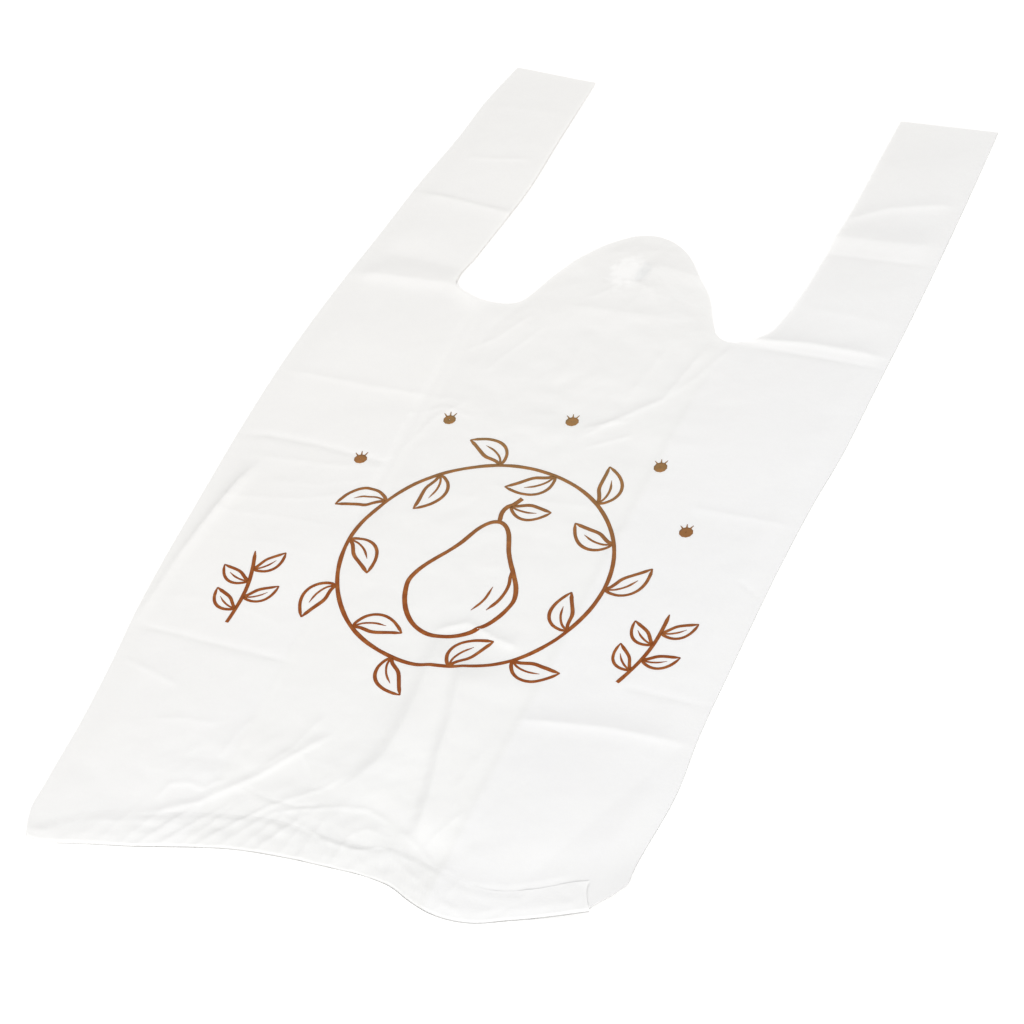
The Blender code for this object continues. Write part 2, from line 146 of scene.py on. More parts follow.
def to_linear(hex_colour):
    """An sRGB hex colour as linear red, green, blue and a full alpha."""
    parts = [int(hex_colour[k:k + 2], 16) / 255 for k in (1, 3, 5)]
    return tuple(c / 12.92 if c <= 0.04045 else ((c + 0.055) / 1.055) ** 2.4 for c in parts) + (1.0,)


def from_plan(x, y, height):
    """A place on the plan, and its height above the table, in the frame's metres."""
    return Vector(((x - PLAN_MIDDLE[0]) * MM, (y - PLAN_MIDDLE[1]) * MM, height * MM))


def ease(value):
    """A soft step from 0 at 0 to 1 at 1."""
    value = np.clip(value, 0.0, 1.0)
    return value * value * (3 - 2 * value)


def through(points, at):
    """A smooth curve through a few points, each (place, value), level beyond its ends."""
    places = np.array([p[0] for p in points], dtype=float)
    values = np.array([p[1] for p in points], dtype=float)
    at = np.clip(np.asarray(at, dtype=float), places[0], places[-1])
    slopes = np.gradient(values, places)
    k = np.clip(np.searchsorted(places, at, side="right") - 1, 0, len(places) - 2)
    span = places[k + 1] - places[k]
    t = (at - places[k]) / span
    rise = values[k + 1] - values[k]
    first = slopes[k] * span - rise
    last = rise - slopes[k + 1] * span
    return values[k] + rise * t + t * (1 - t) * (first * (1 - t) + last * t)


# Creases, ridges and puckers of the front: height, width on the near side, width on the far side,
# how sharp the crest is from 0 to 1, and the points that the crest runs through. The near side is
# the one that faces the foot and the right edge.
FOLDS = {
    # the packing folds, pressed in while the bags lay in their block
    "handle_root_left": (1.25, 7, 22, 0.45, [(-160, 371), (-118, 373), (-92, 375), (-66, 362)]),
    "handle_root_right": (1.1, 4, 12, 0.8, [(62, 370), (100, 375), (156, 375)]),
    "handle_root_right_dip": (-0.4, 3, 3, 0.8, [(70, 367.5), (110, 368), (156, 367.5)]),
    "left_notch_pull": (-0.55, 9, 12, 0.3, [(-140, 390), (-104, 388), (-80, 386)]),
    "upper_pack_left": (-0.6, 3, 4, 0.85, [(-172, 247), (-136, 252), (-110, 252), (-62, 248)]),
    "upper_pack_right": (0.35, 4, 5, 0.7, [(80, 256), (150, 257)]),
    "middle_pack_left": (0.35, 4, 5, 0.7, [(-152, 297), (-100, 296), (-42, 298)]),
    "lower_pack_left": (-0.45, 3, 4, 0.85, [(-154, 120), (-110, 118), (-54, 116)]),
    "lower_pack_right": (1.0, 6, 12, 0.8, [(52, 110), (100, 116), (154, 118)]),
    "lower_pack_right_dip": (-0.35, 4, 4, 0.8, [(94, 142), (150, 141)]),
    # the handles
    "left_handle_fold": (0.55, 8, 3, 0.9, [(-150, 438), (-112, 435), (-72, 431)]),
    "left_handle_faint": (0.3, 3, 3, 0.8, [(-124, 468), (-108, 469), (-86, 474)]),
    "left_handle_upper": (0.15, 5, 5, 0.5, [(-132, 510), (-84, 512)]),
    "right_handle_ridge": (1.3, 11, 18, 0.3, [(70, 451), (118, 454), (166, 460)]),
    "right_handle_dip": (-0.3, 3, 3, 0.6, [(70, 439), (118, 441), (166, 446)]),
    "right_handle_second": (0.65, 5, 9, 0.6, [(86, 464), (108, 479), (142, 490)]),
    "right_root_upper": (0.2, 7, 6, 0.5, [(88, 400), (146, 398)]),
    # round the hole that the hot pin left in the tab
    "pin_hole": (-0.4, 2, 2, 0.8, [(-1, 411), (3, 398)]),
    "pin_pucker_1": (0.4, 2, 2, 0.9, [(-1, 413), (6, 410), (5, 402)]),
    "pin_pucker_2": (0.25, 2, 2, 0.9, [(-8, 397), (2, 398), (12, 394)]),
    "pin_lines_1": (0.2, 2, 2, 0.9, [(-4, 398), (-10, 390), (-18, 382)]),
    "pin_lines_2": (0.25, 2, 2, 0.9, [(5, 400), (6, 388), (2, 376)]),
    "pin_lines_3": (0.2, 2, 2, 0.9, [(8, 402), (14, 392), (22, 380)]),
    "pin_lines_4": (0.5, 8, 5, 0.3, [(2, 413), (18, 411), (42, 407)]),
    "neck_band": (0.2, 6, 4, 0.4, [(-30, 374), (10, 376), (42, 378)]),
    "neck_left": (-0.3, 4, 4, 0.7, [(-48, 374), (-58, 350), (-60, 322)]),
    "neck_line_1": (0.35, 2, 3, 0.9, [(-40, 366), (-52, 344), (-66, 330)]),
    "neck_line_2": (0.3, 2, 3, 0.9, [(-30, 360), (-44, 332), (-48, 318)]),
    "neck_right": (0.4, 3, 4, 0.8, [(66, 366), (56, 340), (46, 322)]),
    # the left edge
    "left_edge_ridge": (2.6, 4.5, 8, 0.85,
                        [(-133, 236), (-136, 214), (-140, 188), (-143, 164), (-145, 112)]),
    "left_edge_lower": (0.4, 3, 4, 0.8, [(-143, 99), (-124, 94), (-104, 88)]),
    # crumples round the print
    "gusset_left_fold": (-1.1, 15, 3, 0.4, [(-73, 370), (-71, 320), (-70, 270), (-68, 198)]),
    "crumple_left": (0.45, 3, 4, 0.8, [(-48, 298), (-60, 284), (-66, 262), (-74, 246)]),
    "crumple_left_2": (0.35, 3, 3, 0.9, [(-76, 282), (-58, 292), (-40, 288)]),
    "crumple_middle": (0.2, 3, 4, 0.7, [(-8, 362), (-10, 318)]),
    "crumple_right": (0.3, 3, 4, 0.8, [(35, 360), (27, 312)]),
    "crumple_long": (0.75, 3, 5, 0.85, [(54, 364), (46, 322), (26, 300), (14, 285)]),
    "crumple_short": (0.5, 2, 3, 0.9, [(14, 293), (36, 305)]),
    "crumple_short_2": (0.4, 2, 3, 0.9, [(20, 281), (42, 296)]),
    "crumple_print": (0.25, 4, 4, 0.7, [(-20, 250), (10, 242), (44, 246)]),
    "streak_left_1": (0.2, 3, 4, 0.8, [(-152, 236), (-100, 240), (-58, 247)]),
    "streak_left_2": (0.2, 3, 4, 0.8, [(-148, 206), (-104, 214), (-70, 227)]),
    "streak_left_3": (0.16, 3, 3, 0.8, [(-150, 198), (-110, 201), (-72, 202)]),
    "streak_left_4": (0.13, 3, 4, 0.7, [(-140, 178), (-104, 184), (-70, 182)]),
    "streak_left_5": (0.13, 3, 4, 0.7, [(-144, 140), (-104, 144), (-68, 136)]),
    "streak_left_6": (0.16, 3, 4, 0.8, [(-128, 222), (-96, 226), (-72, 238)]),
    "dent_right": (-0.5, 2, 3, 0.9, [(124, 218), (134, 212), (146, 206)]),
    # the raised fold up the middle of the foot
    "hump_top": (1.1, 4, 6, 0.85, [(-4, 150), (12, 160), (30, 154), (44, 151)]),
    "hump_left": (1.7, 18, 7, 0.25, [(2, 154), (7, 122), (9, 92), (8, 74), (2, 60), (-9, 49)]),
    "hump_right": (2.9, 24, 6, 0.25, [(19, 142), (29, 104), (33, 80), (38, 58), (44, 24)]),
    "hump_right_2": (0.4, 5, 5, 0.7, [(52, 96), (48, 66), (56, 40)]),
    # what the drawn seam does to the film above it
    "foot_left_curve": (1.0, 2.2, 5, 0.45, [(-96, 12), (-80, 17), (-64, 27), (-44, 49), (-18, 86)]),
    "foot_left_dip": (-0.4, 4, 8, 0.4, [(-100, 15), (-84, 20), (-70, 30), (-60, 42)]),
    "foot_left_2": (0.6, 1.6, 3, 0.6, [(-84, 22), (-82, 33), (-74, 36), (-66, 35), (-56, 44)]),
    "foot_left_3": (-0.5, 2, 2, 0.9, [(-52, 43), (-36, 38), (-20, 37), (-6, 41)]),
    "foot_left_4": (0.5, 3, 4, 0.85, [(-46, 52), (-36, 68), (-30, 92)]),
    "foot_middle": (0.8, 2.5, 3.5, 0.9,
                    [(-30, 32), (-12, 27), (2, 22), (18, 20), (28, 25), (52, 20), (72, 13)]),
    "foot_middle_2": (0.6, 2.5, 3, 0.9, [(-34, 28), (-16, 36), (0, 42), (14, 43), (32, 37)]),
    "foot_middle_3": (0.6, 2.5, 3, 0.9, [(30, 38), (44, 30), (56, 22), (76, 17)]),
    "foot_middle_4": (0.6, 2, 3, 0.9, [(30, 24), (50, 13), (66, 4), (84, -2)]),
    "foot_left_outer": (-0.5, 8, 8, 0.1, [(-140, 36), (-118, 28), (-98, 14)]),
    "foot_left_long": (0.25, 3, 4, 0.85, [(-110, 66), (-92, 71), (-74, 72)]),
    "foot_left_cross": (0.3, 3, 4, 0.85, [(-61, 82), (-65, 66), (-67, 52)]),
    "foot_right_facet": (-0.7, 14, 26, 0.5, [(146, 140), (112, 56), (90, 6)]),
    "foot_fan_1": (0.5, 2, 3, 0.9, [(-44, 20), (-32, 33), (-12, 50), (-4, 60)]),
    "foot_fan_2": (0.4, 2, 3, 0.9, [(-18, 24), (-14, 38), (-20, 56), (-34, 70)]),
    "foot_fan_3": (0.4, 2, 2, 0.9, [(46, 26), (50, 38), (58, 56)]),
    "foot_fan_4": (0.35, 2, 3, 0.9, [(8, 24), (18, 33), (34, 30)]),
    "hem_long_1": (0.4, 2, 3, 0.9, [(-116, 2), (-90, 8), (-66, 12), (-40, 19)]),
    "hem_long_2": (0.4, 2, 2, 0.9, [(20, 15), (48, 8), (70, 1)]),
    "foot_right_low": (0.6, 5, 8, 0.7, [(66, 16), (92, 20), (120, 34)]),
}
# Broad soft swells, where the front stands off the back: height, reach across, reach up, place
SWELLS = {
    "foot_right": (2.6, 46, 44, (102, 66)),
    "foot_middle": (1.6, 18, 60, (15, 86)),
    "foot_left": (0.7, 40, 40, (-92, 76)),
    "print_left": (1.0, 46, 44, (-104, 184)),
    "print_right": (1.2, 50, 60, (96, 186)),
    "upper_left": (0.8, 42, 30, (-108, 330)),
    "upper_right": (1.0, 46, 48, (100, 312)),
    "centre": (0.7, 60, 80, (0, 240)),
    "left_handle": (0.7, 24, 40, (-108, 470)),
    "left_handle_low": (0.3, 22, 14, (-112, 408)),
    "right_handle": (0.35, 24, 26, (116, 508)),
    "right_handle_low": (0.9, 24, 28, (114, 416)),
    "tab": (0.6, 30, 30, (4, 392)),
}
# Short gathers across the hem: place along it, lean, height
GATHERS = [(-96, 0.4, 0.5), (-84, 0.5, 0.7), (-74, 0.7, 0.9), (-63, 0.8, 1.1), (-55, 0.6, 0.8),
           (-46, 0.9, 1.2), (-37, 0.7, 1.0), (-29, 0.5, 0.8), (-21, 0.6, 1.2), (-13, 0.2, 0.9),
           (-5, 0.1, 1.1), (4, -0.2, 0.8), (11, 0.1, 1.2), (19, -0.3, 1.0), (28, -0.5, 1.1),
           (36, -0.3, 0.8), (45, -0.6, 1.0), (55, -0.4, 0.6), (68, 0.2, 0.5)]
GATHER_HEIGHT = 0.55
GATHER_WIDTH = 1.9
# The height above the foot at which they pass their place, and where they end, after they fade
GATHER_LEAN_FROM = 10
GATHER_TOP = 34
GATHER_FADE = 22
# A fold's profile: reach of its crisp and of its soft part as shares of its width, and the share of
# its length over which each end dies away
CRISP_REACH = 0.42
SOFT_REACH = 0.7
FOLD_FADE = 0.18
# The way that its near side faces
NEAR_SIDE = (0.5, -0.87)
# The all-over crumple, from broad facets to fine ones: height, size across, size up, seed
CRUMPLE = ((0.44, 38, 15, 3), (0.42, 19, 12, 5), (0.30, 11, 7.5, 8), (0.15, 5.5, 4.5, 13))
# How strong it is along the sides, and what the middle and the foot add to that
SIDE_CRUMPLE = 0.45
MIDDLE_CRUMPLE = 0.7
FOOT_CRUMPLE = 2.1
# Half the width of that middle, and where it grows stronger up the bag, over what way
MIDDLE_HALF = 62
MIDDLE_GROWS = (250, 60)
# Where the crumple of the foot ends up the bag and over what way, and its centre and half width
FOOT_CRUMPLE_ENDS = (96, 70)
FOOT_CRUMPLE_ACROSS = (-14, 84)
# Facets: how many random heights there are each way, how far the rows wander and how far they lean
FACET_TABLE = 64
FACET_WANDER = 0.35
FACET_LEAN = 0.5


def fold_height(x, y, fold):
    """Height of one fold at places on the plan."""
    height, near, far, sharp, points = fold
    shape = np.zeros_like(x)
    reach = 5 * max(near, far)
    xs, ys = [p[0] for p in points], [p[1] for p in points]
    close = ((x > min(xs) - reach) & (x < max(xs) + reach)
             & (y > min(ys) - reach) & (y < max(ys) + reach))
    px, py = x[close], y[close]
    lengths = [math.dist(a, b) for a, b in zip(points, points[1:])]
    best = np.full(px.shape, np.inf)
    along = np.zeros_like(px)
    side = np.zeros_like(px)
    begun = 0.0
    for (ax, ay), (bx, by), length in zip(points, points[1:], lengths):
        ux, uy = (bx - ax) / length, (by - ay) / length
        t = np.clip((px - ax) * ux + (py - ay) * uy, 0, length)
        dx, dy = px - ax - ux * t, py - ay - uy * t
        away = np.hypot(dx, dy)
        nearer = away < best
        best = np.where(nearer, away, best)
        along = np.where(nearer, (begun + t) / sum(lengths), along)
        side = np.where(nearer, np.where(dx * NEAR_SIDE[0] + dy * NEAR_SIDE[1] > 0, 1, -1), side)
        begun += length
    width = np.where(side > 0, near, far)
    crisp = np.exp(-best / (CRISP_REACH * width))
    soft = np.exp(-(best / (SOFT_REACH * width)) ** 2)
    ends = ease(along / FOLD_FADE) * ease((1 - along) / FOLD_FADE)
    shape[close] = height * (sharp * crisp + (1 - sharp) * soft) * ends
    return shape


def facets(x, y, across, up, seed):
    """Flat facets between points of random height, as a crumpled sheet has. They are about as large
    as the two sizes, lean over a little and lie in rows that wander."""
    heights = np.random.default_rng(seed).random((FACET_TABLE, FACET_TABLE)) - 0.5
    u = x / across + FACET_WANDER * np.sin(y / up * 0.9 + seed) + FACET_LEAN * y / up
    w = y / up + FACET_WANDER * np.sin(x / across * 1.1 + 2 * seed)
    i, j = np.floor(u).astype(int), np.floor(w).astype(int)
    fu, fw = u - i, w - j

    def corner(right, above):
        return heights[(i + right) % FACET_TABLE, (j + above) % FACET_TABLE]

    start, end = corner(0, 0), corner(1, 1)
    lower = start * (1 - fu) + corner(1, 0) * (fu - fw) + end * fw
    upper = start * (1 - fw) + corner(0, 1) * (fw - fu) + end * fu
    return np.where(fu > fw, lower, upper)


def crumple(x, y):
    """The small all-over crumple of handled film: flat along the sides, closer down the middle and
    strongest above the foot."""
    shape = sum(tall * facets(x, y, across, up, seed) for tall, across, up, seed in CRUMPLE)
    begin, way = MIDDLE_GROWS
    in_middle = np.exp(-(x / MIDDLE_HALF) ** 4) * (0.55 + 0.45 * ease((y - begin) / way))
    end, fade = FOOT_CRUMPLE_ENDS
    centre, half = FOOT_CRUMPLE_ACROSS
    at_foot = ease((end - y) / fade) * np.exp(-((x - centre) / half) ** 4)
    return shape * (SIDE_CRUMPLE + MIDDLE_CRUMPLE * in_middle + FOOT_CRUMPLE * at_foot)


def front_lift(x, y):
    """How far the front stands above the flat stack of film."""
    height = np.full_like(x, REST_LIFT)
    for tall, across, up, (px, py) in SWELLS.values():
        height += tall * np.exp(-((x - px) / across) ** 2 - ((y - py) / up) ** 2)
    for fold in FOLDS.values():
        height += fold_height(x, y, fold)
    return height


def gathers(x, y):
    """The small gathers that the weld of the foot pulls into the film."""
    height = np.zeros_like(x)
    up = y - through(FOOT_EDGE, x)
    run = ease((GATHER_TOP - up) / GATHER_FADE) * ease((up + 6) / 10)
    for place, lean, tall in GATHERS:
        away = np.abs(x - place - lean * (up - GATHER_LEAN_FROM))
        height += GATHER_HEIGHT * tall * np.exp(-away / GATHER_WIDTH) * run
    return height


def settled(lift):
    """Film can't go below what it lies on, so low places flatten out."""
    low = LEAST_LIFT * np.exp(np.minimum(lift, LEAST_LIFT) / LEAST_LIFT - 1)
    return np.where(lift > LEAST_LIFT, lift, low)


def corner_lift(x, y):
    """The curl of the foot's right corner."""
    away = np.hypot(CORNER[0] - x, CORNER[1] - y)
    return CORNER_LIFT * ease(1 - away / CORNER_REACH) ** 1.4


def freed(distance, hold):
    """The share of its lift that the front has at a distance from a place that holds it down."""
    reach, kept = hold
    return kept + (1 - kept) * ease(distance / reach)


def layer_heights(x, y):
    """Heights of the back and of the front above the table."""
    back = TABLE_GAP + corner_lift(x, y)
    from_fold = np.where(x < 0, x - through(LEFT_INNER, y), through(RIGHT_INNER, y) - x)
    stack = LAYER_PITCH * (3 - 2 * ease(from_fold / FRONT_DROP))
    rim = np.minimum(x - through(LEFT_EDGE, y), through(RIGHT_EDGE, y) - x)
    held = (freed(rim, RIM_HOLD) * freed(BAG_LENGTH - HANDLE_WELD - y, WELD_HOLD)
            * freed(y - through(FOOT_EDGE, x), SEAM_HOLD))
    lift = settled(front_lift(x, y) + crumple(x, y)) * held + gathers(x, y)
    return back, back + stack + lift


def evenly(low, high, step):
    """Places from low to high, about a step apart."""
    return np.linspace(low, high, max(2, round((high - low) / step) + 1))


def on_plan(x, v):
    """Draws up the foot and shifts the tips of the handles."""
    y = v + through(FOOT_EDGE, x) * ease(1 - v / FOOT_REACH)
    return y + through(TIP_RISE, x) * ease((v - BAG_LENGTH + TIP_REACH) / TIP_REACH)


def rows_of_film(start, end, shares, rows):
    """Plan places in rows up the bag, at shares of the way from each row's start to its end."""
    x = start[:, None] + (end - start)[:, None] * shares[None, :]
    return x, on_plan(x, np.repeat(rows[:, None], len(shares), axis=1))


def strip(side, shares, rows):
    """Plan places of a side of the bag and its handle, from its inner fold or cut to its edge."""
    inner, cut, edge = SIDES[side]
    start = np.where(rows > NECK, through(cut, rows), through(inner, rows))
    return rows_of_film(start, through(edge, rows), shares, rows)


def middle(shares, rows):
    """Plan places of the part between the gussets, up to the neckline."""
    return rows_of_film(through(LEFT_INNER, rows), through(RIGHT_INNER, rows), shares, rows)


def tab(shares, rises):
    """Plan places of the tab above the neckline."""
    start, end = through(LEFT_INNER, NECK), through(RIGHT_INNER, NECK)
    x = np.repeat((start + (end - start) * shares)[None, :], len(rises), axis=0)
    tall = np.where((x > TAB_EDGE[0][0]) & (x < TAB_EDGE[-1][0]), through(TAB_EDGE, x) - NECK, 0)
    return x, NECK + np.maximum(tall, 0) * rises[:, None]


class Sheet:
    """Collects grids of points and makes one mesh of them, joined where their edges meet."""

    def __init__(self):
        self.points = []
        self.faces = []
        self.count = 0

    def add(self, x, y, z, face_up):
        """A grid of points, given as three arrays of rows and columns."""
        rows, columns = x.shape
        self.points.append(np.stack([x, y, z], axis=-1).reshape(-1, 3))
        number = np.arange(rows * columns).reshape(rows, columns) + self.count
        quads = [number[:-1, :-1], number[:-1, 1:], number[1:, 1:], number[1:, :-1]]
        if not face_up:
            quads.reverse()
        self.faces.append(np.stack([q.ravel() for q in quads], axis=-1))
        self.count += rows * columns

    def finish(self, name, material):
        """The mesh of all grids, as a piece of the scene."""
        points = np.concatenate(self.points)
        points[:, 0] -= PLAN_MIDDLE[0]
        points[:, 1] -= PLAN_MIDDLE[1]
        mesh = bpy.data.meshes.new(name)
        mesh.from_pydata((points * MM).tolist(), [], np.concatenate(self.faces).tolist())
        joined = bmesh.new()
        joined.from_mesh(mesh)
        bmesh.ops.remove_doubles(joined, verts=joined.verts, dist=MERGE * MM)
        bmesh.ops.dissolve_degenerate(joined, dist=MERGE * MM, edges=joined.edges)
        joined.to_mesh(mesh)
        joined.free()
        mesh.polygons.foreach_set("use_smooth", [True] * len(mesh.polygons))
        piece = bpy.data.objects.new(name, mesh)
        bpy.context.scene.collection.objects.link(piece)
        mesh.materials.append(material)
        return piece


def body_rows(step):
    """Rows up the bag: those up to the neckline, and those above it."""
    return evenly(0, NECK, step), evenly(NECK, BAG_LENGTH, step)[1:]


def add_panel(sheet, heights, steps, face_up):
    """The front or the back panel: both sides with their handles, the middle and the tab."""
    step_across, step_along = steps
    low, high = body_rows(step_along)
    for side in (-1, 1):
        shares = np.linspace(0, 1, round(GUSSET_DEPTH / step_across) + 1)
        x, y = strip(side, shares, np.concatenate([low, high]))
        sheet.add(x, y, heights(x, y), face_up == (side > 0))
    shares = np.linspace(0, 1, round(MIDDLE_WIDTH / step_across) + 1)
    x, y = middle(shares, low)
    sheet.add(x, y, heights(x, y), face_up)
    x, y = tab(shares, np.linspace(0, 1, round(TAB_HEIGHT / step_along) + 1))
    sheet.add(x, y, heights(x, y), face_up)


def make_front(material):
    """The front panel, finest of all, with every crease."""
    sheet = Sheet()
    add_panel(sheet, lambda x, y: layer_heights(x, y)[1], FRONT_STEP, True)
    return sheet.finish("film_front", material)


def add_turn(sheet, x, y, back, front, turn, face_up):
    """A folded edge of film, up a column of places: shares of the way from the back to the front,
    each with its shift across."""
    sheet.add(np.concatenate([x + out for _, out in turn], axis=1),
              np.concatenate([y] * len(turn), axis=1),
              np.concatenate([back + (front - back) * share for share, _ in turn], axis=1), face_up)


def make_back_and_gussets(material):
    """The back panel, and at each side two leaves of film that fold inwards between the panels."""
    sheet = Sheet()
    add_panel(sheet, lambda x, y: layer_heights(x, y)[0], BACK_STEP, False)
    low, high = body_rows(GUSSET_STEP)
    # narrow columns at both folds, where the leaves turn
    shares = np.concatenate([[0, 0.012], np.linspace(0.04, 0.96, 27), [0.988, 1]])
    for side in (-1, 1):
        x, y = strip(side, shares, np.concatenate([low, high]))
        back, front = layer_heights(x, y)
        # the two leaves lie apart inside the bag and close up at its edge
        begin, way = CLOSING
        apart = 1 / 6 - (1 / 6 - EDGE_GAP) * ease((shares - begin) / way)
        for share, up in ((0.5 + apart, True), (0.5 - apart, False)):
            sheet.add(x, y, back + (front - back) * share, up == (side > 0))
        bulge = side * 0.5 * LAYER_PITCH
        outer = [grid[:, -1:] for grid in (x, y, back, front)]
        for first, last in ((1, 0.5 + EDGE_GAP), (0.5 - EDGE_GAP, 0)):
            turn = [(first, 0), ((first + last) / 2, bulge), (last, 0)]
            add_turn(sheet, *outer, turn, side > 0)
        inner = [grid[:len(low), :1] for grid in (x, y, back, front)]
        add_turn(sheet, *inner, [(2 / 3, 0), (1 / 2, -bulge), (1 / 3, 0)], side < 0)
    return sheet.finish("film_back_and_gussets", material)


def hem_crinkle(x, up):
    """The weld at the foot shrinks the film, so the hem is crinkled across: narrow crinkles about
    3 mm wide, and slack ones of 9 mm."""
    def at(place, height):
        leaning = place + 0.35 * height
        narrow = abs(noise.noise(Vector((leaning / 3.2, height / 26, 21.0))))
        slack = noise.noise(Vector((leaning / 9, height / 14, 27.0)))
        return narrow + 0.6 * slack
    return np.vectorize(at)(x, up)


def make_hem(material):
    """The foot, folded up over the front and sealed down, as two leaves with a cut upper edge."""
    across = evenly(HEM_START, HEM_END, HEM_STEP)
    rises = np.array(HEM_ROWS)[:, None]
    centre, half, fade = HEM_CRINKLED
    crinkled = 0.35 + 0.9 * ease((half - np.abs(across - centre)) / fade)
    sheet = Sheet()
    for layer in (0, 1):
        x = np.repeat(across[None, :], len(rises), axis=0)
        tall = through(HEM_TOP, x)
        up = tall * rises
        left = through(LEFT_EDGE, up)
        right = HEM_END + HEM_SLANT * (1 - rises) ** 2
        x = left + (right - left) * (x - HEM_START) / (HEM_END - HEM_START)
        y = on_plan(x, up)
        back, front = layer_heights(x, y)
        crinkle = hem_crinkle(x, up) * crinkled
        # the fold is pressed sharp but for its left end
        begin, way = HEM_LEFT_END
        turn = HEM_TURN_LEFT + (HEM_TURN - HEM_TURN_LEFT) * ease((x - begin) / way)
        rise = ease((up + 0.5) / turn)
        # the cut edge is sealed down but for its right end
        sealed = HEM_SEALED * ease((up - tall + HEM_SEAL) / HEM_SEAL)
        sealed = sealed * ease((HEM_SEALED_TO - x) / HEM_OPENS_OVER)
        loose = HEM_OFF + HEM_UPPER_OFF * layer + HEM_CRINKLE * np.maximum(crinkle, 0)
        loose += HEM_CRUMPLE * (facets(x, y, *HEM_FACETS) + 0.5) * np.minimum(up / 5, 1)
        top = front + HEM_LEAF_GAP * (1 + layer) + loose * (1 - sealed)
        sheet.add(x, y, back * (1 - rise) + top * rise, layer == 1)
    return sheet.finish("foot_hem", material)


# The print's strokes: spacing of their points, distance from the film, thickness, and the places
# across a stroke from edge to edge
INK_STEP = 0.8
INK_GAP = 0.05
INK_THICK = 0.03
INK_ACROSS = (-1.0, -0.34, 0.34, 1.0)
# Where the film is looked for from, well above the bag
HIGH_ABOVE = 1000.0
# How much a pen's width wavers, and the length over which a stroke swells from its tapered end
PEN_WAVER = 0.16
PEN_TAPER = 5.0


class Ink:
    """Draws pen strokes over the front of the bag, as thin closed ribbons."""

    def __init__(self, front):
        self.front = front
        self.points = []
        self.faces = []

    def lay(self, x, y):
        """The point of the front under a place on the plan."""
        return self.front.ray_cast(from_plan(x, y, HIGH_ABOVE), Vector((0, 0, -1)))[0]

    def stroke(self, points, width, closed=False, taper=(0.35, 0.35), seed=0.0):
        """A stroke along plan points, whose width wavers as a pen's does."""
        line = smooth_line(points, closed)
        count = len(line)
        rows = []
        for i, here in enumerate(line):
            before = line[i - 1] if closed or i else here
            after = line[(i + 1) % count] if closed or i < count - 1 else here
            run = (after - before).normalized()
            ends = 1.0
            if not closed:
                done = i / (count - 1) * count * INK_STEP / PEN_TAPER
                left = (1 - i / (count - 1)) * count * INK_STEP / PEN_TAPER
                ends = min(1.0, taper[0] + done, taper[1] + left)
            waver = 1 + PEN_WAVER * noise.noise(Vector((here.x / 9, here.y / 9, seed + 2.7)))
            half = width / 2 * ends * waver
            row = []
            for share_across in INK_ACROSS:
                edge = here + Vector((-run.y, run.x)) * half * share_across
                film = self.lay(edge.x, edge.y)
                row.append((film.x, film.y, film.z + INK_GAP * MM))
            rows.append(row)
        self.add_ribbon(rows, closed)

    def add_ribbon(self, rows, closed):
        """A closed ribbon over rows of points: an under side, a top and two edges, and two ends
        where the line is open."""
        base = len(self.points)
        for row in rows:
            self.points += row + [(x, y, z + INK_THICK * MM) for x, y, z in row]
        top = len(INK_ACROSS)
        size = 2 * top
        count = len(rows)
        for i in range(count if closed else count - 1):
            a, b = base + i * size, base + (i + 1) % count * size
            for k in range(top - 1):
                self.faces.append((a + k, b + k, b + k + 1, a + k + 1))
                self.faces.append((a + top + k, a + top + k + 1, b + top + k + 1, b + top + k))
            self.faces.append((a, a + top, b + top, b))
            self.faces.append((a + top - 1, b + top - 1, b + size - 1, a + size - 1))
        if not closed:
            for i, order in ((0, 1), (count - 1, -1)):
                a = base + i * size
                for k in range(top - 1):
                    self.faces.append((a + k, a + k + 1, a + top + k + 1, a + top + k)[::order])

    def finish(self, name, material):
        """All strokes as one piece of the scene, in place of the print of that name."""
        mesh = bpy.data.meshes.new(name)
        mesh.from_pydata(self.points, [], self.faces)
        mesh.polygons.foreach_set("use_smooth", [True] * len(mesh.polygons))
        piece = bpy.data.objects.new(name, mesh)
        bpy.context.scene.collection.objects.link(piece)
        mesh.materials.append(material)
        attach(piece, "root")
        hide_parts(name.replace("ink_", "print_"))
        return piece


def smooth_line(points, closed):
    """Points every step along a smooth curve through a few given ones."""
    points = [Vector(p) for p in points]
    count = len(points)
    line = []
    for i in range(count if closed else count - 1):
        a = points[i - 1] if closed or i else points[0] * 2 - points[1]
        b, c = points[i], points[(i + 1) % count]
        d = points[(i + 2) % count] if closed or i < count - 2 else c * 2 - b
        steps = max(1, round((c - b).length / INK_STEP))
        for k in range(steps):
            t = k / steps
            line.append(0.5 * (2 * b + (c - a) * t + (2 * a - 5 * b + 4 * c - d) * t * t
                               + (3 * b - a - 3 * c + d) * t ** 3))
    if not closed:
        line.append(points[-1])
    return line


# The print, as on the pattern: a ring of leaves round a pear, with sprigs and berries beside it.
# A leaf's shape is its lean in degrees, its length, its width and the width of its pen.
PRINT_MIDDLE = (0.0, 196.0)
WREATH_RADIUS = 66.0
WREATH_WAVER = 0.5
WREATH_POINTS = 48
WREATH_LEAVES = 14
WREATH_LEAF = (44, 25.0, 11.0, 1.9)
PEAR_LEAF = (60, 21.0, 9.5, 1.8)
SPRIG_LEAF = (56, 18.0, 7.5, 1.7)
LEAF_BEND = 0.45
PEAR_HEIGHT = 76.0
PEAR_WIDTH = 56.0
PEAR_SEAT = 0.62
PEAR_POINTS = 32
